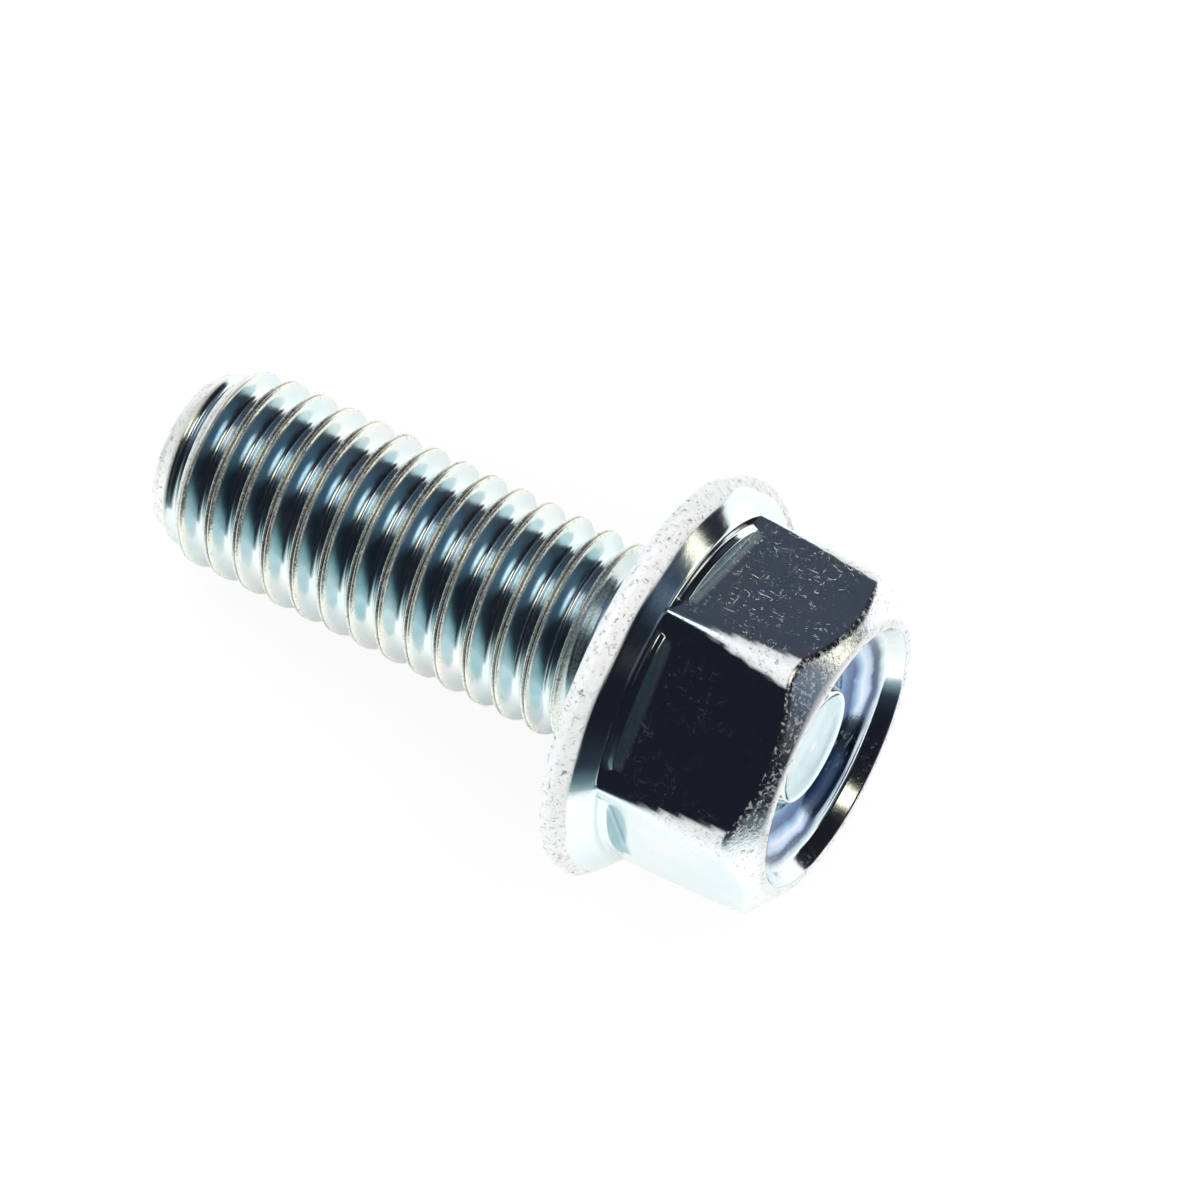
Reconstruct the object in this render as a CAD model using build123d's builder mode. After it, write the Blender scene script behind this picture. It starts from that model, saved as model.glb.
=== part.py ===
"""Flange bolt M8 x 1.25 x 20, hexagon 12 mm across flats, with a dished head.

One cold-headed and thread-rolled piece of steel. It stands on its head:
the bearing face of the flange lies in z = 0, the threaded shank rises
to z = 20 and the head hangs below down to the resting ring of its dish.
"""
import os
from math import ceil, cos, pi, radians, tan

from build123d import *

# Thread, M8 coarse as rolled and plated
thread_diameter = 7.8
thread_pitch = 1.25
thread_depth = 0.67
crest_width = 0.22
root_width = 0.26
thread_angle = -28.8
shank_length = 20.0

# Plain neck between the thread and the bearing face
neck_diameter = 7.0
neck_length = 1.05
neck_taper = 0.6
runout_length = 0.95
under_head_bevel = 0.3

# Point of the shank, a cone that cuts down the last turns
point_diameter = 6.1
point_length = 1.7
end_chamfer = 0.12

# Flange with a thin rim and a conical upper face
flange_diameter = 16.0
rim_thickness = 0.75
rim_bevel = 0.2
flange_cone_diameter = 13.6
flange_cone_rise = 0.85

# Turned step between the flange and the hexagon
step_diameter = 12.9
step_rise = 0.3

# Hexagon
across_flats = 11.85
corner_round = 0.55
head_height = 7.6
resting_ring_diameter = 10.7
chamfer_angle = 38.0
hexagon_turn = 47.5

# Dish pressed into the head
dish_diameter = 10.15
dish_wall_depth = 0.85
dish_wall_draft = 22.0
dish_ledge_width = 0.3
dish_ledge_drop = 0.08
dish_depth = 1.55
dish_floor_diameter = 6.9
boss_diameter = 4.6
boss_recess = 0.92
boss_flank = 0.25

# Derived values
crest_radius = thread_diameter / 2
root_radius = crest_radius - thread_depth
neck_radius = neck_diameter / 2
point_radius = point_diameter / 2
rim_radius = flange_diameter / 2
cone_radius = flange_cone_diameter / 2
step_radius = step_diameter / 2
ring_radius = resting_ring_diameter / 2
dish_radius = dish_diameter / 2
wall_radius = dish_radius - dish_wall_depth * tan(radians(dish_wall_draft))
ledge_radius = wall_radius - dish_ledge_width
floor_radius = dish_floor_diameter / 2
boss_radius = boss_diameter / 2
head_top = -head_height
cone_top = -(rim_thickness + flange_cone_rise)
step_top = cone_top - step_rise
corner_radius = across_flats / 2 / cos(pi / 6)
chamfer_slope = tan(radians(chamfer_angle))
chamfer_end = head_top + (corner_radius - ring_radius) * chamfer_slope

# Ridge of the thread and the tools that trim its two ends
trim_clearance = 2.0
trim_inset = 1.3
ridge_root_overlap = 0.12
ridge_base = root_radius - ridge_root_overlap
ridge_half_crest = crest_width / 2
ridge_half_root = (thread_pitch - root_width) / 2
ridge_slope = (ridge_half_root - ridge_half_crest) / thread_depth
ridge_half_base = ridge_half_root + ridge_slope * ridge_root_overlap
thread_start = neck_length - thread_pitch
turns_length = shank_length - end_chamfer - thread_pitch / 4 + ridge_half_base - thread_start
turn_count = ceil(turns_length / thread_pitch)
point_slope = (crest_radius - point_radius) / point_length
runout_slope = runout_length / thread_depth
trim_radius = crest_radius + trim_clearance
trim_inner = min(point_radius, ridge_base) - trim_inset
trim_margin = 2 * thread_pitch + trim_clearance
CENTRED_ABOVE = (Align.CENTER, Align.CENTER, Align.MIN)
CENTRED_BELOW = (Align.CENTER, Align.CENTER, Align.MAX)

os.makedirs("parts", exist_ok=True)

# One turn of the thread ridge: a trapezium carried along a right-handed helix
with BuildPart() as thread_turn:
    with BuildLine() as turn_path:
        Helix(pitch=thread_pitch, height=thread_pitch, radius=root_radius)
    with BuildSketch(Plane.XZ):
        with BuildLine():
            Polyline(
                (ridge_base, -ridge_half_base),
                (crest_radius, -ridge_half_crest),
                (crest_radius, ridge_half_crest),
                (ridge_base, ridge_half_base),
                close=True,
            )
        make_face()
    sweep(path=turn_path.line, is_frenet=True)

# What is turned away outside the point, above the end, and outside the runout at the neck
with BuildPart() as outside_point:
    with BuildSketch(Plane.XZ):
        with BuildLine():
            Polyline(
                (trim_inner, shank_length + (point_radius - trim_inner) / point_slope),
                (trim_radius, shank_length + (point_radius - trim_inner) / point_slope),
                (trim_radius, shank_length - (trim_radius - point_radius) / point_slope),
                close=True,
            )
        make_face()
    revolve(axis=Axis.Z)
with BuildPart() as above_point:
    with Locations((0, 0, shank_length - end_chamfer)):
        Cylinder(trim_radius, trim_margin, align=CENTRED_ABOVE)
with BuildPart() as outside_runout:
    with BuildSketch(Plane.XZ):
        with BuildLine():
            Polyline(
                (trim_inner, neck_length - (ridge_base - trim_inner) * runout_slope),
                (trim_radius, neck_length + (trim_radius - ridge_base) * runout_slope),
                (trim_radius, -trim_margin),
                (trim_inner, -trim_margin),
                close=True,
            )
        make_face()
    revolve(axis=Axis.Z)
    with Locations((0, 0, neck_length - neck_taper / 2)):
        Cylinder(trim_radius, trim_margin, align=CENTRED_BELOW)

# Shank: neck, core and nose, with the turns of the thread laid end to end
with BuildPart() as shank:
    with BuildSketch(Plane.XZ):
        with BuildLine():
            Polyline(
                (0, -rim_thickness),
                (neck_radius + under_head_bevel, -rim_thickness),
                (neck_radius + under_head_bevel, 0),
                (neck_radius, under_head_bevel),
                (neck_radius, neck_length - neck_taper / 2),
                (root_radius, neck_length + neck_taper / 2),
                (root_radius, shank_length - end_chamfer),
                (root_radius - end_chamfer, shank_length),
                (0, shank_length),
                close=True,
            )
        make_face()
    revolve(axis=Axis.Z)
    turns = []
    for turn_number in range(turn_count):
        turn_start = thread_start + turn_number * thread_pitch
        turn_low = turn_start - ridge_half_base
        turn_high = turn_start + thread_pitch + ridge_half_base
        with BuildPart(mode=Mode.PRIVATE) as placed_turn:
            with Locations((0, 0, turn_start)):
                add(thread_turn.part)
            if turn_high > shank_length - point_length:
                add(outside_point.part, mode=Mode.SUBTRACT)
                add(above_point.part, mode=Mode.SUBTRACT)
            if turn_low < neck_length + runout_length:
                add(outside_runout.part, mode=Mode.SUBTRACT)
        turns.extend(placed_turn.part.solids())
    add(turns)

# Hexagon with rounded corners, trimmed by the chamfer cone at its top
with BuildPart() as hexagon:
    with BuildSketch(Plane.XY.offset(cone_top)):
        RegularPolygon(radius=corner_radius, side_count=6, rotation=hexagon_turn)
    extrude(amount=head_top - cone_top)
    fillet(hexagon.edges().filter_by(Axis.Z), radius=corner_round)
    with BuildSketch(Plane.XZ):
        with BuildLine():
            Polyline(
                (0, head_top),
                (ring_radius, head_top),
                (corner_radius, chamfer_end),
                (corner_radius, cone_top),
                (0, cone_top),
                close=True,
            )
        make_face()
    revolve(axis=Axis.Z, mode=Mode.INTERSECT)

# The whole bolt: shank, flange, step, hexagon and dish
with BuildPart() as flange_bolt:
    # Flange and step
    with BuildSketch(Plane.XZ) as flange_section:
        with BuildLine():
            Polyline(
                (0, 0),
                (rim_radius, 0),
                (rim_radius, -rim_thickness),
                (cone_radius, cone_top),
                (step_radius, cone_top),
                (step_radius, step_top),
                (0, step_top),
                close=True,
            )
        make_face()
        rim_corners = flange_section.vertices().filter_by(lambda v: v.X > rim_radius - 0.01)
        chamfer(rim_corners, length=rim_bevel)
    revolve(axis=Axis.Z)
    add(hexagon.part)
    # Dish with a drafted wall, a ledge, a sloping floor and a raised boss
    with BuildSketch(Plane.XZ):
        with BuildLine():
            Polyline(
                (0, head_top - trim_clearance),
                (dish_radius, head_top - trim_clearance),
                (dish_radius, head_top),
                (wall_radius, head_top + dish_wall_depth),
                (ledge_radius, head_top + dish_wall_depth + dish_ledge_drop),
                (floor_radius, head_top + dish_depth),
                (boss_radius + boss_flank, head_top + dish_depth),
                (boss_radius, head_top + boss_recess),
                (0, head_top + boss_recess),
                close=True,
            )
        make_face()
    revolve(axis=Axis.Z, mode=Mode.SUBTRACT)
    add(shank.part, rotation=(0, 0, thread_angle))
flange_bolt.part.label = "flange_bolt"
export_step(flange_bolt.part, "parts/flange_bolt.step")
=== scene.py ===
import bmesh
import bpy
import numpy as np
from mathutils import Matrix, Vector


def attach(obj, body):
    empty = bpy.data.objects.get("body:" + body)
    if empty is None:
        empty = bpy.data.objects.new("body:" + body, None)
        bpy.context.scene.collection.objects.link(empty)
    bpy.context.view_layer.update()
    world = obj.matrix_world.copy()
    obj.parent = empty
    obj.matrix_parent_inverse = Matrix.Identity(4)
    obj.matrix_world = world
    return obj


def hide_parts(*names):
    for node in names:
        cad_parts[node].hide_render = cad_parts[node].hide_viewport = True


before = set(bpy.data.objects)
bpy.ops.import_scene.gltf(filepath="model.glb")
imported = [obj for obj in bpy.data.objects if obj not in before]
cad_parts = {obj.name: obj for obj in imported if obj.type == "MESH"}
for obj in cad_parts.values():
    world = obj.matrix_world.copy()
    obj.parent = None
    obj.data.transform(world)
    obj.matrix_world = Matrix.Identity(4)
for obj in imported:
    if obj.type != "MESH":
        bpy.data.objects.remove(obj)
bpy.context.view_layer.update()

# ---------------------------------------------------------------- The head
# The hexagon, its flange and the dish are struck cold from the end of the
# wire in closed dies, so every form is a section carried round the axis,
# and the hexagon's corners are rounder at the open end of the die.
MM = 0.001
bearing_radius = 8.0
cone_top_radius, cone_top_z = 6.8, -1.6
step_radius, step_z = 6.45, -1.9
half_flats = 5.925
neck_radius = 3.5
head_top_z = -7.6
ring_radius = 5.35
chamfer_slope = 0.781
hexagon_turn = 47.5
corner_round_base, corner_round_top = 0.2, 1.45
dish_mouth, dish_wall_foot, dish_ledge = 5.07, 4.73, 4.43
dish_floor_edge, boss_edge = 3.2, 2.3

# Angles round the axis: close together at the six corners, wider on the flats
corner_steps = np.array([0, 0.3, 0.65, 1.1, 1.7, 2.4, 3.3, 4.4, 5.6, 6.8])
flat_steps = np.linspace(8.8, 51.2, 15)
sector = np.concatenate([corner_steps, flat_steps, 60 - corner_steps[:0:-1]])
turn_angles = np.radians((hexagon_turn + np.add.outer(60.0 * np.arange(6), sector)).ravel())
around = len(turn_angles)


def hexagon_radius(angle, rounding):
    """Distance from the axis to the hexagon: the flat's distance over the cosine of
    the angle from its middle, or the corner's arc of the given rounding where nearer."""
    from_corner = np.abs((angle - np.radians(hexagon_turn) + np.pi / 6) % (np.pi / 3) - np.pi / 6)
    flat = half_flats / np.cos(np.pi / 6 - from_corner)
    arc_centre = (half_flats - rounding) / np.cos(np.pi / 6)
    inside = np.clip(rounding ** 2 - (arc_centre * np.sin(from_corner)) ** 2, 0, None)
    arc = arc_centre * np.cos(from_corner) + np.sqrt(inside)
    tangent = np.pi / 6 - np.arctan((half_flats - rounding) * np.tan(np.pi / 6) / half_flats)
    return np.where(from_corner < tangent, arc, flat)


def rounded_section(corners, rounds, steps):
    """A section line with its corners eased: each corner (radius, height) becomes a
    parabola between two points set back from it along its two sides, one section
    for every angle round the axis. Corners are arrays of angles by two."""
    line = [corners[0][None]]
    for i in range(1, len(corners) - 1):
        before, here, after = corners[i - 1], corners[i], corners[i + 1]
        lead, tail = before - here, after - here
        lead_length = np.maximum(np.linalg.norm(lead, axis=1, keepdims=True), 1e-6)
        tail_length = np.maximum(np.linalg.norm(tail, axis=1, keepdims=True), 1e-6)
        start = here + lead * np.minimum(rounds[i] / lead_length, 0.48)
        end = here + tail * np.minimum(rounds[i] / tail_length, 0.48)
        t = np.linspace(0, 1, steps[i])[:, None, None]
        line.append((1 - t) ** 2 * start + 2 * t * (1 - t) * here + t ** 2 * end)
    line.append(corners[-1][None])
    return np.concatenate(line)


def spread(section, first, last, count):
    """Points added evenly on the straight run between two rows of a section."""
    t = np.linspace(0, 1, count + 2)[1:-1, None, None]
    added = section[first] * (1 - t) + section[last] * t
    return np.concatenate([section[:last], added, section[last:]])


top_radius = hexagon_radius(turn_angles, corner_round_top)
base_radius = hexagon_radius(turn_angles, corner_round_base)
chamfer_z = head_top_z + (top_radius - ring_radius) * chamfer_slope
on_step = base_radius < step_radius
foot_z = np.where(on_step, step_z, cone_top_z)
foot_radius = np.maximum(base_radius, step_radius)
everywhere = np.ones(around)


def at(radius, height):
    """One corner of the section for every angle, from a radius and a height."""
    return np.stack([radius * everywhere, height * everywhere], axis=1)


# Dish, from the middle of its boss out to the mouth
dish_section = rounded_section(
    [at(0, -6.60), at(boss_edge - 0.3, -6.61), at(boss_edge - 0.12, -6.70), at(boss_edge + 0.25, -6.05),
     at(dish_floor_edge, -6.05), at(dish_ledge, -6.86), at(dish_wall_foot, -6.93),
     at(dish_mouth, head_top_z), at(ring_radius, head_top_z)],
    [0, 0.1, 0.1, 0.2, 0.5, 0.16, 0.12, 0.1, 0],
    [1, 4, 5, 6, 8, 5, 5, 5, 1])[:-1]
dish_section = spread(dish_section, 0, 1, 5)

# Ring, chamfer and the flats down to the flange
flat_rows = 14
t = np.linspace(0, 1, flat_rows)[:, None]
rounding = corner_round_base + (corner_round_top - corner_round_base) * (1 - t) ** 1.3
wall_z = chamfer_z + (foot_z - chamfer_z) * t
wall_radius = hexagon_radius(turn_angles[None], rounding)
chamfer_run = rounded_section(
    [at(dish_mouth + 0.1, head_top_z), at(ring_radius, head_top_z), at(top_radius, chamfer_z),
     at(wall_radius[1], wall_z[1])],
    [0, 0.08, 0.2, 0], [1, 4, 7, 1])[1:-1]
chamfer_run = spread(chamfer_run, 3, 4, 4)
flat_run = np.stack([wall_radius[1:-1], wall_z[1:-1]], axis=2)
cone_rows = np.array([0.14, 0.22, 0.30, 0.40, 0.50, 0.58, 0.64, 0.70, 0.76, 0.84])
foot_run = rounded_section(
    [at(wall_radius[-2], wall_z[-2]), at(base_radius, foot_z), at(foot_radius, foot_z),
     at(foot_radius + 0.02, cone_top_z), at(cone_top_radius, cone_top_z),
     *[at(cone_top_radius + 0.94 * share, cone_top_z + 0.84 * share) for share in cone_rows],
     at(bearing_radius - 0.26, -0.76), at(bearing_radius + 0.02, -0.46), at(bearing_radius - 0.1, 0),
     at(7.55, 0), at(7.35, 0), at(neck_radius + 0.4, 0), at(neck_radius, 0.4), at(neck_radius, 0.75)],
    [0, 0.14, 0.06, 0.1, 0.08, *[0] * len(cone_rows), 0.08, 0.16, 0.12, 0, 0, 0.3, 0.3, 0],
    [1, 4, 3, 3, 3, *[1] * len(cone_rows), 4, 6, 5, 1, 1, 4, 4, 1])[1:]
head_section = np.concatenate([dish_section, chamfer_run, flat_run, foot_run])

# The flange's thin rim was nipped and dented in handling: where in degrees, how wide
# in degrees and how deep. One side was struck flat, and one is thicker.
angle = turn_angles[None]
radius, height = head_section[..., 0], head_section[..., 1]
rim_share = np.clip((radius - 7.4) / 0.4, 0, 1)
dent = np.zeros_like(radius)
dents = ((6, 1.6, 0.16), (12, 2.5, 0.07), (150, 5, 0.08), (205, 3, 0.1), (188, 7, 0.06), (74, 3, 0.07))
for place, width, depth in dents:
    apart = np.degrees(np.abs((angle - np.radians(place) + np.pi) % (2 * np.pi) - np.pi))
    dent += depth * np.exp(-(apart / width) ** 2)
dent += 0.016 * (1 + np.sin(7 * angle + 1.0) * np.cos(11 * angle))
flattened = np.degrees((angle - np.radians(-14) + np.pi) % (2 * np.pi) - np.pi)
dent += 0.3 * np.exp(-(flattened / 13) ** 2)
radius = radius - dent * rim_share
heavy_side = np.degrees((angle - np.radians(36) + np.pi) % (2 * np.pi) - np.pi)
upper_share = np.clip((radius - 6.9) / 0.5, 0, 1) * np.clip((-height - 0.3) / 0.3, 0, 1)
height = height - 0.66 * np.exp(-(heavy_side / 30) ** 2) * upper_share

# ---------------------------------------------------------------- The shank
# The thread is rolled, not cut: the dies press the roots in and the metal
# flows up to a crest that doesn't quite close, so a fine seam runs along it.
# It follows one right-hand helix from the neck to a cone-shaped point.
pitch = 1.25
crest_radius, root_radius = 3.9, 3.24
thread_depth = crest_radius - root_radius
crest_start, root_curve = 0.49, 0.36
crest_z_at_zero = -0.1
thread_low, thread_high = 0.75, 19.88
across_pitch = np.array([-0.6, -0.53, -0.47, -0.4, -0.31, -0.22, -0.155, -0.12, -0.09, -0.06, -0.03,
                         0, 0.03, 0.06, 0.09, 0.12, 0.155, 0.22, 0.31, 0.4, 0.47, 0.53])
per_turn = len(across_pitch)


def eased_step(value, low, high):
    """Zero below low, one above high, with a smooth cubic rise between."""
    t = np.clip((value - low) / (high - low), 0, 1)
    return t * t * (3 - 2 * t)


def soft_least(first, second, ease):
    """The lesser of two values, eased over a short range where they cross."""
    blend = np.clip(0.5 + 0.5 * (second - first) / ease, 0, 1)
    return second + (first - second) * blend - ease * blend * (1 - blend)


def thread_radius(angle, height):
    """Radius of the shank: a parabola at the root, straight flanks that touch it and
    an eased crest with a fine furrow, held inside the runout cone at the neck and
    inside the cone of the point."""
    across = (height - crest_z_at_zero - pitch * angle / (2 * np.pi) + pitch / 2) % pitch - pitch / 2
    from_root = pitch / 2 - np.abs(across)
    steep = thread_depth / (crest_start - root_curve / 2)
    cove = steep / (2 * root_curve) * from_root ** 2
    flank = np.where(from_root < root_curve, cove, steep * (from_root - root_curve / 2))
    ridge = soft_least(flank, thread_depth, 0.14)
    wander = 0.012 * np.sin(9 * angle + 1.3 * height) * np.sin(5 * angle - 2.1 * height)
    seam = 0.075 * np.exp(-((across - wander) / 0.034) ** 2)
    lips = 0.012 * np.exp(-((np.abs(across) - 0.075) / 0.03) ** 2)
    open_crest = 1 - eased_step(height, 17.2, 18.6)
    swell = 0.006 * np.sin(13 * angle + 0.7 * height)
    furrow = (seam - lips) * eased_step(ridge, 0.45, 0.62) * open_crest
    crest = root_radius + ridge - furrow + swell * (ridge > 0.3)
    core = neck_radius - 0.27 * eased_step(height, 0.75, 1.35)
    runout = 3.15 + (height - 1.05) * 0.75
    point = 3.05 + (20 - height) * 0.5 + 0.02 * np.sin(4 * angle) * (height < 19.8)
    held = soft_least(crest, np.maximum(runout, core), 0.1)
    shaped = np.maximum(held, core * (height < 1.35) + root_radius * (height >= 1.35))
    return np.minimum(soft_least(shaped, point, 0.09), crest_radius), across, ridge


turns = int(np.ceil((thread_high - thread_low) / pitch)) + 2
row_start = thread_low - 1.5 * pitch
first_turn = np.floor((row_start - crest_z_at_zero) / pitch)
rows = (crest_z_at_zero + pitch * (first_turn + np.arange(turns + 1))[:, None] + across_pitch[None]).ravel()
seam_angle = turn_angles[0]
climb = pitch * (turn_angles - seam_angle) / (2 * np.pi)
thread_z = np.clip(rows[:, None] + pitch * seam_angle / (2 * np.pi) + climb[None], thread_low, thread_high)
thread_r, across, ridge = thread_radius(turn_angles[None], thread_z)

# Point: a short bevel and the sheared end face
last_radius = thread_radius(turn_angles, thread_high + 0 * turn_angles)[0]
nose_section = rounded_section(
    [at(last_radius, thread_high), at(3.0, 20.0), at(0.0, 19.97)], [0, 0.1, 0], [1, 5, 1])[1:-1]

# ---------------------------------------------------------------- One skin
# Head, shank and point are one piece of steel, so they are one closed skin:
# rings of the same angles, joined, with one point at each pole.


def ring_points(radius, height):
    """Points on rings: radius and height at every angle, in metres."""
    x = radius * np.cos(turn_angles)[None]
    y = radius * np.sin(turn_angles)[None]
    return np.stack([x, y, height], axis=2).reshape(-1, 3) * MM


def ring_faces(start, rings, shift=0):
    """Quads between each ring and the next. With a shift, the last angle joins the
    first angle that many rows further on, so the rows climb as one helix."""
    i = np.arange(rings - 1)[:, None]
    j = np.arange(around)[None]
    after = (j + 1) % around
    over = np.where(j == around - 1, shift, 0)
    a = start + i * around + j
    b = start + (i + over) * around + after
    c = start + (i + 1 + over) * around + after
    d = start + (i + 1) * around + j
    quads = np.stack([a + 0 * b, b, c, d + 0 * c], axis=2).reshape(-1, 4)
    return quads[(quads < start + rings * around).all(axis=1)]


def join(first, second):
    """Quads between two rings, each given by the number of its first point."""
    return np.stack([first + ring, first + following, second + following, second + ring], 1)


head_points = ring_points(radius[1:], height[1:])
thread_points = ring_points(thread_r, thread_z)
nose_points = ring_points(nose_section[..., 0], nose_section[..., 1])
poles = np.array([[0, 0, height[0, 0]], [0, 0, 19.97]]) * MM
points = np.concatenate([head_points, thread_points, nose_points, poles])
head_rings = len(height) - 1
thread_from = head_rings * around
nose_from = thread_from + len(thread_z) * around
nose_rings = len(nose_section)
dish_pole, end_pole = len(points) - 2, len(points) - 1
ring = np.arange(around)
following = (ring + 1) % around
last_nose = nose_from + (nose_rings - 1) * around
dish_fan = np.stack([ring, following, ring * 0 + dish_pole], 1)
end_fan = np.stack([last_nose + ring, last_nose + following, ring * 0 + end_pole], 1)
quads = np.concatenate([
    ring_faces(0, head_rings), ring_faces(thread_from, len(thread_z), per_turn),
    ring_faces(nose_from, nose_rings),
    join(thread_from - around, thread_from), join(nose_from - around, nose_from)])
fans = np.concatenate([dish_fan, end_fan])

# How worn each place is: the rims, the chamfer and the corners took the knocks
head_r, head_z = radius[1:], height[1:]
turned = np.degrees(turn_angles)[None]
corner_near = np.abs((turn_angles - np.radians(hexagon_turn) + np.pi / 6) % (np.pi / 3) - np.pi / 6)
outside = (head_r > dish_mouth) & (head_z < -1.95)
chamfered = outside & (head_z < (chamfer_z + 0.1)[None])
share = np.clip((head_z - chamfer_z[None]) / (foot_z - chamfer_z)[None], 0, 1)
eased = corner_round_base + (corner_round_top - corner_round_base) * (1 - share) ** 1.3
tangent = np.pi / 6 - np.arctan((half_flats - eased) * np.tan(np.pi / 6) / half_flats)
band = eased_step(tangent + 0.006 - corner_near[None], 0, 0.012)
head_wear = 0.05 + 0 * head_r
head_wear = np.where(outside & ~chamfered, np.maximum(head_wear, 0.3 * band), head_wear)
head_wear = np.where(chamfered, 0.52, head_wear)
head_wear = np.where((head_z >= -0.05) & (head_r < 7.5), 0.35, head_wear)
heavy = np.exp(-(heavy_side / 34) ** 2)
rim_inner = 7.5 - 0.5 * heavy + 0.05 * np.sin(5 * angle + 0.6) * np.cos(8 * angle)
head_matt = eased_step(head_r, rim_inner, rim_inner + 0.1) * (head_z > -1.62)
head_matt = np.where((head_z >= -0.02) & (head_r < 7.6), 0, head_matt)
resting_ring = eased_step(head_r, 5.04, 5.12) * eased_step(-head_r, -5.5, -5.36) * (head_z < -7.3)
head_matt = np.maximum(head_matt, 0.85 * resting_ring)
ragged = 0.004 * np.sin(9 * head_z + 2.0) + 0.003 * np.sin(23 * head_z)
corner_band = eased_step(tangent - 0.012 + ragged - corner_near[None], 0, 0.01) * outside * ~chamfered
head_matt = np.maximum(head_matt, 0.8 * corner_band * eased_step(tangent, 0.03, 0.06))
head_wear = np.maximum(head_wear, 0.8 * head_matt)
on_point = eased_step(thread_r + 0.5 * thread_z, 12.98, 13.03)
thread_wear = np.maximum(0.05 + 0.45 * eased_step(ridge, 0.5, 0.62), 0.6 * on_point)
thread_matt = 0.55 * on_point + 0.1 * eased_step(ridge, 0.55, 0.64)
facet = ((turned - hexagon_turn) % 360 // 60).astype(int)
scuffed = np.array([0.5, 0.5, 0.45, 0.12, 1.0, 0.5])[facet] * (head_z < -1.9) * (head_r < 7)
nose = nose_section[..., 0].ravel()
wear = np.concatenate([head_wear.ravel(), thread_wear.ravel(), 0 * nose + 0.6, [0.1, 0.7]])
open_turns = (1 - eased_step(thread_z, 17.6, 18.8)) * eased_step(thread_z, 1.9, 2.4)
# Painted shade: the crest's furrow along the seam is coloured nearly black
furrow = np.exp(-(across / 0.032) ** 2) * open_turns
seam = np.concatenate([0 * head_wear.ravel(), furrow.ravel(), 0 * nose, [0, 0]])
# Film pooled in the dish and at the hexagon's foot; on the thread's flank that faces the point the same
# value paints shade, a bluish tint
in_dish = (head_r < dish_mouth) & (head_z < -5.5) & (head_z > head_top_z + 0.05)
pooled = np.where(in_dish, np.clip((head_r - 2.0) / 3.0, 0, 1), 0)
inside_foot = head_r < (foot_radius - 0.05)[None]
at_foot = (head_z > (foot_z - 0.16)[None]) & (head_z < -1.55) & inside_foot
pooled = np.where(at_foot, 0.2, pooled)
pooled = np.where((head_r < boss_edge - 0.32) & (head_z < -6.3), 0.135, pooled)
head_matt = np.where(at_foot, np.where(facet == 4, 0.26, 0.06), head_matt)
# Painted shade: a bluish tint on the thread's flank that faces the point, on every turn
painted_flank_shade = eased_step(across, 0.06, 0.14) * (1 - eased_step(across, 0.42, 0.54)) * (ridge > 0.05)
dish = np.concatenate([pooled.ravel(), 0.155 * painted_flank_shade.ravel(), 0 * nose, [0, 0]])
matt = np.concatenate([head_matt.ravel(), thread_matt.ravel(), 0 * nose + 0.5, [0, 0.5]])
scuff = np.concatenate([scuffed.ravel(), 0.12 + 0 * thread_wear.ravel(), 0 * nose, [0.3, 0.3]])

faces = quads.tolist() + fans.tolist()
skin = bpy.data.meshes.new("flange_bolt_skin")
skin.from_pydata(points.tolist(), [], faces)
for name, values in (("wear", wear), ("matt", matt), ("seam", seam), ("dish", dish), ("scuff", scuff)):
    skin.attributes.new(name, "FLOAT", "POINT").data.foreach_set("value", values.astype(np.float32))
work = bmesh.new()
work.from_mesh(skin)
bmesh.ops.remove_doubles(work, verts=work.verts, dist=2e-7)
bmesh.ops.dissolve_degenerate(work, edges=work.edges, dist=1e-7)
bmesh.ops.recalc_face_normals(work, faces=work.faces)
work.to_mesh(skin)
work.free()
skin.polygons.foreach_set("use_smooth", np.ones(len(skin.polygons), bool))
bolt = bpy.data.objects.new("flange_bolt_skin", skin)
bpy.context.scene.collection.objects.link(bolt)
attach(bolt, "root")
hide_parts("flange_bolt")

# ---------------------------------------------------------------- The finish
# Bright zinc plate under a thin clear chromate film, blue-white with faint
# cyan and straw. Handling left matt speckled edges, fine hair scratches and
# small black pits.


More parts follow.
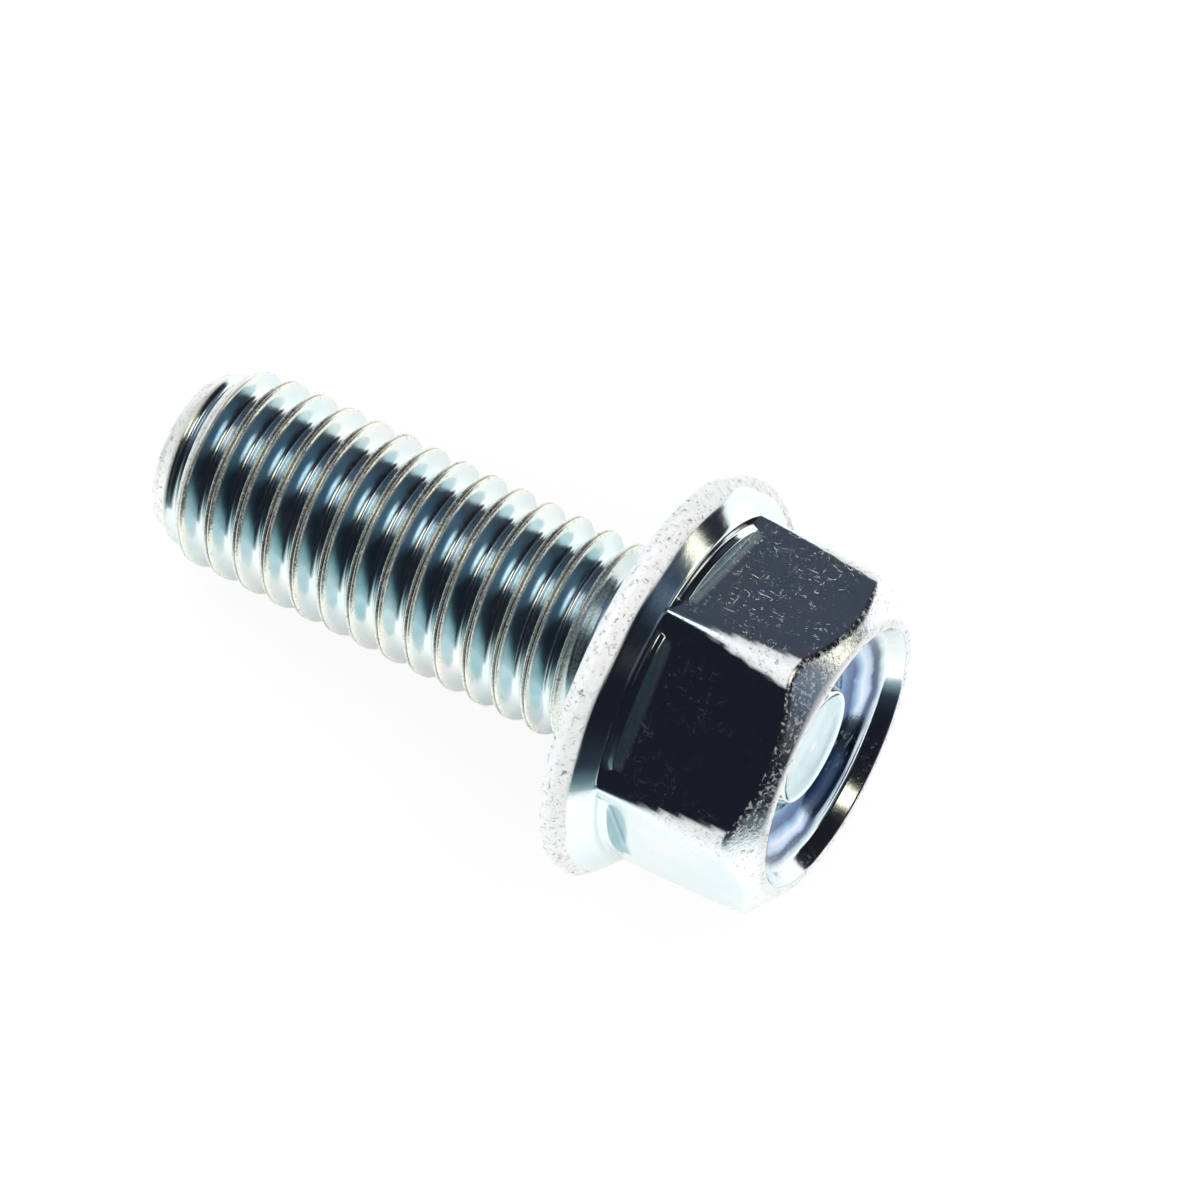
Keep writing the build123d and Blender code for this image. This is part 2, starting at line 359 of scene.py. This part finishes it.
def zinc_plate_group():
    """Colour, roughness, height and bareness of the plate from how worn the place is:
    a slow wander of the film's tint, hair-fine scratches where a noise crosses its
    middle value or a stretched noise peaks, and pits and grain that grow with wear.
    Matt places lose their mirror and go chalky, in speckles at their edge. Where the
    film pooled, most of all in the dish, it turns blue, lavender or teal in rings. The
    same rings paint shade as a bluish tint on the thread's flank that faces the point,
    and the seam input paints shade nearly black into the crest's furrow."""
    group = bpy.data.node_groups.new("zinc plate", "ShaderNodeTree")
    for name, kind, default in (
            ("Wear", "NodeSocketFloat", 0.1), ("Matt", "NodeSocketFloat", 0.0),
            ("Seam", "NodeSocketFloat", 0.0), ("Dish", "NodeSocketFloat", 0.0),
            ("Scuff", "NodeSocketFloat", 0.3), ("Softness", "NodeSocketFloat", 0.08),
            ("Rubbed", "NodeSocketColor", (0.9, 0.92, 0.92, 1))):
        group.interface.new_socket(name=name, in_out="INPUT", socket_type=kind).default_value = default
    for name, kind in (("Colour", "NodeSocketColor"), ("Roughness", "NodeSocketFloat"),
                       ("Metal", "NodeSocketFloat"), ("Height", "NodeSocketFloat")):
        group.interface.new_socket(name=name, in_out="OUTPUT", socket_type=kind)
    node, link = group.nodes.new, group.links.new
    given, result = node("NodeGroupInput"), node("NodeGroupOutput")
    place = node("ShaderNodeTexCoord")

    def noise(scale, detail, distortion=0.0, vector=None):
        n = node("ShaderNodeTexNoise")
        n.inputs["Scale"].default_value = scale
        n.inputs["Detail"].default_value = detail
        n.inputs["Distortion"].default_value = distortion
        link(vector or place.outputs["Object"], n.inputs["Vector"])
        return n.outputs["Fac"]

    def maths(operation, first, second=None, clamp=False):
        n = node("ShaderNodeMath")
        n.operation = operation
        n.use_clamp = clamp
        for socket, value in ((n.inputs[0], first), (n.inputs[1], second)):
            if value is None:
                continue
            if isinstance(value, (int, float)):
                socket.default_value = value
            else:
                link(value, socket)
        return n.outputs[0]

    def ramp(value, stops):
        n = node("ShaderNodeValToRGB")
        link(value, n.inputs[0])
        while len(n.color_ramp.elements) < len(stops):
            n.color_ramp.elements.new(0.5)
        for element, (position, colour) in zip(n.color_ramp.elements, stops):
            element.position = position
            element.color = (*colour, 1)
        return n.outputs[0]

    def mix(factor, first, second):
        n = node("ShaderNodeMix")
        n.data_type = "RGBA"
        for socket, value in ((n.inputs[0], factor), (n.inputs[6], first), (n.inputs[7], second)):
            if isinstance(value, (int, float)):
                socket.default_value = value
            elif isinstance(value, tuple):
                socket.default_value = (*value, 1)
            else:
                link(value, socket)
        return n.outputs[2]

    wear, matt = given.outputs["Wear"], given.outputs["Matt"]
    film = ramp(noise(420, 3, 0.6), [
        (0.34, (0.69, 0.82, 0.84)), (0.5, (0.76, 0.84, 0.85)), (0.66, (0.83, 0.85, 0.83))])

    # Film pooled in the dish, in rings with streaks along them; the same rings paint shade as a bluish tint
    # on the thread's flank that faces the point
    ripple = maths("MULTIPLY", maths("SUBTRACT", noise(560, 3, 0.4), 0.5), 0.16)
    ringed = ramp(maths("ADD", given.outputs["Dish"], ripple), [
        (0.03, (0.80, 0.86, 0.87)), (0.12, (0.60, 0.76, 0.80)), (0.21, (0.24, 0.44, 0.52)),
        (0.34, (0.16, 0.33, 0.52)), (0.44, (0.07, 0.15, 0.32)), (0.52, (0.05, 0.09, 0.21)),
        (0.575, (0.22, 0.38, 0.58)), (0.635, (0.64, 0.70, 0.82)), (0.695, (0.40, 0.52, 0.68)),
        (0.74, (0.04, 0.07, 0.16)), (0.79, (0.06, 0.10, 0.17)), (0.85, (0.50, 0.62, 0.68)),
        (0.92, (0.80, 0.86, 0.87))])
    film = mix(maths("MULTIPLY", given.outputs["Dish"], 14.0, True), film, ringed)

    # Hair scratches: curly ones in patches, and straight ones in three directions
    curl = maths("ABSOLUTE", maths("SUBTRACT", noise(1900, 1, 1.2), 0.5))
    curl = maths("SUBTRACT", 1.0, maths("MULTIPLY", curl, 38.0), True)
    broken = maths("MULTIPLY", maths("SUBTRACT", noise(4200, 2), 0.5), 9.0, True)
    hair = maths("MULTIPLY", curl, broken)
    for turn, stretch in (((0.3, 0.2, 0.9), (900, 900, 12000)), ((1.1, 0.5, 0.2), (1000, 11000, 1000)),
                          ((0.4, 1.2, 0.6), (10000, 800, 10000))):
        drawn = node("ShaderNodeMapping")
        drawn.inputs["Rotation"].default_value = turn
        drawn.inputs["Scale"].default_value = stretch
        link(place.outputs["Object"], drawn.inputs["Vector"])
        along_it = noise(1.0, 2, 0.5, drawn.outputs["Vector"])
        streak = maths("MULTIPLY", maths("SUBTRACT", along_it, 0.69), 10.0, True)
        hair = maths("MAXIMUM", streak, hair)
    patches = maths("MULTIPLY", maths("SUBTRACT", noise(420, 2), 0.44), 6.0, True)
    hair = maths("MULTIPLY", maths("MULTIPLY", hair, patches), given.outputs["Scuff"], True)

    grain = noise(7500, 4)
    pits = maths("MULTIPLY", maths("SUBTRACT", noise(5200, 3, 0.8), 0.62), 14.0, True)
    pits = maths("MULTIPLY", pits, wear, True)
    speckle = maths("MULTIPLY", maths("SUBTRACT", noise(6200, 3, 0.4), 0.52), 9.0, True)
    bare = maths("MULTIPLY", maths("SUBTRACT", wear, 0.35), 2.2, True)
    bare = maths("MULTIPLY", maths("MULTIPLY", speckle, bare), 0.8)
    chalky = maths("MAXIMUM", matt, bare)
    colour = mix(maths("MULTIPLY", wear, 1.2, True), film, given.outputs["Rubbed"])
    mottle = ramp(noise(4800, 4, 0.8), [
        (0.32, (0.56, 0.57, 0.56)), (0.42, (0.88, 0.89, 0.88)), (0.6, (0.95, 0.95, 0.95))])
    colour = mix(chalky, colour, mottle)
    colour = mix(maths("MULTIPLY", hair, 0.5), colour, (0.92, 0.95, 0.96))
    colour = mix(maths("MULTIPLY", pits, 0.85), colour, (0.035, 0.035, 0.04))
    # Painted shade: nearly black in the crest's furrow along the seam
    colour = mix(given.outputs["Seam"], colour, (0.09, 0.09, 0.08))
    smooth = maths("ADD", given.outputs["Softness"], maths("MULTIPLY", noise(1500, 3), 0.05))
    rough = maths("ADD", smooth, maths("MULTIPLY", wear, 0.16))
    rough = maths("ADD", rough, maths("MULTIPLY", chalky, 0.35))
    rough = maths("ADD", rough, maths("MULTIPLY", hair, 0.25), True)
    dulled = maths("ADD", maths("MULTIPLY", chalky, 0.75), maths("MULTIPLY", hair, 0.38))
    metal = maths("SUBTRACT", 1.0, dulled, True)
    grain_depth = maths("ADD", maths("MULTIPLY", wear, 1.5), 0.03)
    height = maths("MULTIPLY", maths("SUBTRACT", grain, 0.5), grain_depth)
    height = maths("SUBTRACT", height, maths("MULTIPLY", pits, 0.9))
    height = maths("SUBTRACT", height, maths("MULTIPLY", hair, 0.3))
    height = maths("ADD", height, maths("MULTIPLY", maths("SUBTRACT", noise(700, 2), 0.5), 0.16))
    link(colour, result.inputs["Colour"])
    link(rough, result.inputs["Roughness"])
    link(metal, result.inputs["Metal"])
    link(height, result.inputs["Height"])
    return group


zinc_plate = zinc_plate_group()


def plated_steel(name, rubbed, softness, bump_depth):
    """A plated finish: bare metal shader with the plate's colour, roughness and bumps,
    worn, matt or pooled where the skin's own values say so, with painted shade in the
    crest's furrow and on the thread's flank that faces the point."""
    material = bpy.data.materials.new(name)
    material.use_nodes = True
    tree = material.node_tree
    shader = tree.nodes["Principled BSDF"]
    plate = tree.nodes.new("ShaderNodeGroup")
    plate.node_tree = zinc_plate
    plate.inputs["Rubbed"].default_value = (*rubbed, 1)
    plate.inputs["Softness"].default_value = softness
    for value in ("wear", "matt", "seam", "dish", "scuff"):
        read = tree.nodes.new("ShaderNodeAttribute")
        read.attribute_name = value
        tree.links.new(read.outputs["Fac"], plate.inputs[value.capitalize()])
    bump = tree.nodes.new("ShaderNodeBump")
    bump.inputs["Strength"].default_value = 1.0
    bump.inputs["Distance"].default_value = bump_depth
    tree.links.new(plate.outputs["Colour"], shader.inputs["Base Color"])
    tree.links.new(plate.outputs["Roughness"], shader.inputs["Roughness"])
    tree.links.new(plate.outputs["Metal"], shader.inputs["Metallic"])
    tree.links.new(plate.outputs["Height"], bump.inputs["Height"])
    tree.links.new(bump.outputs["Normal"], shader.inputs["Normal"])
    return material


skin.materials.append(plated_steel("rolled zinc", (0.90, 0.85, 0.68), 0.125, 0.000012))
skin.materials.append(plated_steel("struck zinc", (0.90, 0.92, 0.92), 0.085, 0.000012))
centres = np.zeros(len(skin.polygons) * 3, np.float32)
skin.polygons.foreach_get("center", centres)
skin.polygons.foreach_set("material_index", (centres.reshape(-1, 3)[:, 2] < 0.0005).astype(np.int32))

# ---------------------------------------------------------------- Floor and light
# The bolt lies on a pale sheet, touching it with the flange's rim and the
# thread's end, seen from above. The room above the sheet is dim and bluish.
floor_normal = Vector((0.178, -0.956, -0.232)).normalized()
normal = np.array(floor_normal)
sideways = np.cross(normal, [0, 0, 1])
sideways = sideways / np.linalg.norm(sideways)
upward = np.cross(sideways, normal)
clearance = 0.00002
floor_reach, floor_corners = 0.055, 96
floor_turn = np.linspace(0, 2 * np.pi, floor_corners + 1)[:-1, None]
floor_centre = normal * ((points @ normal).min() - clearance)
floor_points = floor_centre + floor_reach * (np.cos(floor_turn) * sideways + np.sin(floor_turn) * upward)
floor_mesh = bpy.data.meshes.new("pale_floor")
floor_mesh.from_pydata(floor_points.tolist(), [], [list(range(floor_corners))])
floor_mesh.update()
if floor_mesh.polygons[0].normal.dot(floor_normal) < 0:
    floor_mesh.flip_normals()
floor = bpy.data.objects.new("pale_floor", floor_mesh)
bpy.context.scene.collection.objects.link(floor)
paper = bpy.data.materials.new("pale paper")
paper.use_nodes = True
tree = paper.node_tree
tree.nodes.clear()
output = tree.nodes.new("ShaderNodeOutputMaterial")
diffuse = tree.nodes.new("ShaderNodeBsdfDiffuse")
diffuse.inputs["Color"].default_value = (0.96, 0.965, 0.965, 1)
clear = tree.nodes.new("ShaderNodeBsdfTransparent")
side = tree.nodes.new("ShaderNodeNewGeometry")
lit = tree.nodes.new("ShaderNodeEmission")
lit.inputs["Color"].default_value = (1, 1, 1, 1)
watched = tree.nodes.new("ShaderNodeLightPath")
faint = tree.nodes.new("ShaderNodeMath")
faint.operation = "MULTIPLY"
faint.inputs[1].default_value = 0.86
tree.links.new(watched.outputs["Is Camera Ray"], faint.inputs[0])
sheet = tree.nodes.new("ShaderNodeMixShader")
tree.links.new(faint.outputs[0], sheet.inputs[0])
tree.links.new(diffuse.outputs[0], sheet.inputs[1])
tree.links.new(lit.outputs[0], sheet.inputs[2])
chosen = tree.nodes.new("ShaderNodeMixShader")
tree.links.new(side.outputs["Backfacing"], chosen.inputs[0])
tree.links.new(sheet.outputs[0], chosen.inputs[1])
tree.links.new(clear.outputs[0], chosen.inputs[2])
tree.links.new(chosen.outputs[0], output.inputs["Surface"])
floor_mesh.materials.append(paper)

lamp = bpy.data.lights.new("soft sky", "SUN")
lamp.energy = 3.6
lamp.angle = 2.6
sky = bpy.data.objects.new("soft sky", lamp)
sky.matrix_world = floor_normal.to_track_quat("Z", "Y").to_matrix().to_4x4()
sky.visible_glossy = False
bpy.context.scene.collection.objects.link(sky)

world = bpy.data.worlds.new("dim room")
bpy.context.scene.world = world
world.use_nodes = True
tree = world.node_tree
tree.nodes.clear()
output = tree.nodes.new("ShaderNodeOutputWorld")
direction = tree.nodes.new("ShaderNodeTexCoord")


def towards(place):
    """How nearly the direction looked in is the given one: 1 straight at it, -1 behind."""
    dot = tree.nodes.new("ShaderNodeVectorMath")
    dot.operation = "DOT_PRODUCT"
    dot.inputs[1].default_value = Vector(place).normalized()
    tree.links.new(direction.outputs["Generated"], dot.inputs[0])
    return dot.outputs["Value"]


span = tree.nodes.new("ShaderNodeMapRange")
span.inputs["From Min"].default_value = -1
span.inputs["From Max"].default_value = 1
tree.links.new(towards((0.53, -0.74, -0.41)), span.inputs["Value"])
shade = tree.nodes.new("ShaderNodeValToRGB")
stops = [(0.0, (1.0, 1.0, 1.0)), (0.25, (0.88, 0.93, 0.93)), (0.33, (0.50, 0.66, 0.69)),
         (0.40, (0.14, 0.22, 0.26)), (0.46, (0.028, 0.038, 0.055)), (0.6, (0.012, 0.014, 0.024)),
         (1.0, (0.012, 0.012, 0.018))]
while len(shade.color_ramp.elements) < len(stops):
    shade.color_ramp.elements.new(0.5)
for element, (position, colour) in zip(shade.color_ramp.elements, stops):
    element.position = position
    element.color = (*colour, 1)
tree.links.new(span.outputs[0], shade.inputs[0])
light = shade.outputs[0]
# Patches of light in the room, each where one face of the bolt mirrors it: direction,
# width in degrees of its core and of its soft edge, colour
for place, core, edge, colour in (
        ((0.53, -0.55, 0.62), 14, 46, (0.10, 0.16, 0.23)),
        ((0.32, -0.90, 0.28), 5, 10, (1.0, 1.08, 1.15)),
        ((0.50, -0.82, 0.28), 6, 11, (1.4, 1.5, 1.6)),
        ((0.66, -0.70, 0.28), 5, 10, (1.2, 1.28, 1.35)),
        ((0.951, 0.113, 0.287), 8, 24, (0.05, 0.055, 0.075)),
        ((0.40, -0.74, -0.55), 11, 15, (1.9, 1.8, 1.4)),
        ((0.54, 0.26, -0.80), 6, 9, (1.8, 1.7, 1.35)),
        ((0.33, 0.02, -0.95), 4, 9, (0.14, 0.16, 0.2)),
        ((0.30, 0.22, -0.93), 10, 26, (0.05, 0.085, 0.13)),
        ((0.0, -0.07, -1.0), 4, 9, (0.085, 0.07, 0.068))):
    lobe = tree.nodes.new("ShaderNodeMapRange")
    lobe.interpolation_type = "SMOOTHSTEP"
    lobe.inputs["From Min"].default_value = float(np.cos(np.radians(edge)))
    lobe.inputs["From Max"].default_value = float(np.cos(np.radians(core)))
    tree.links.new(towards(place), lobe.inputs["Value"])
    scaled = tree.nodes.new("ShaderNodeVectorMath")
    scaled.operation = "SCALE"
    scaled.inputs[0].default_value = colour
    tree.links.new(lobe.outputs[0], scaled.inputs["Scale"])
    total = tree.nodes.new("ShaderNodeVectorMath")
    tree.links.new(light, total.inputs[0])
    tree.links.new(scaled.outputs[0], total.inputs[1])
    light = total.outputs[0]
room = tree.nodes.new("ShaderNodeBackground")
tree.links.new(light, room.inputs["Color"])
seen = tree.nodes.new("ShaderNodeBackground")
seen.inputs["Color"].default_value = (1, 1, 1, 1)
path = tree.nodes.new("ShaderNodeLightPath")
either = tree.nodes.new("ShaderNodeMixShader")
tree.links.new(path.outputs["Is Camera Ray"], either.inputs[0])
tree.links.new(room.outputs[0], either.inputs[1])
tree.links.new(seen.outputs[0], either.inputs[2])
tree.links.new(either.outputs[0], output.inputs["Surface"])

# ---------------------------------------------------------------- Camera
lens = bpy.data.cameras.new("camera")
lens.lens = 127.93
lens.sensor_width = 36
lens.clip_start = 0.01
lens.clip_end = 10
camera = bpy.data.objects.new("camera", lens)
right = Vector((0.43525, 0.28831, -0.8529)).normalized()
back = Vector((-0.00926, -0.94586, -0.32445))
back = (back - right * back.dot(right)).normalized()
up = back.cross(right)
turned_to = Matrix((right, up, back)).transposed().to_4x4()
camera.matrix_world = Matrix.Translation(Vector((0.0, -0.146386, -0.047197))) @ turned_to
bpy.context.scene.collection.objects.link(camera)
bpy.context.scene.camera = camera
bpy.context.scene.view_settings.view_transform = "Standard"
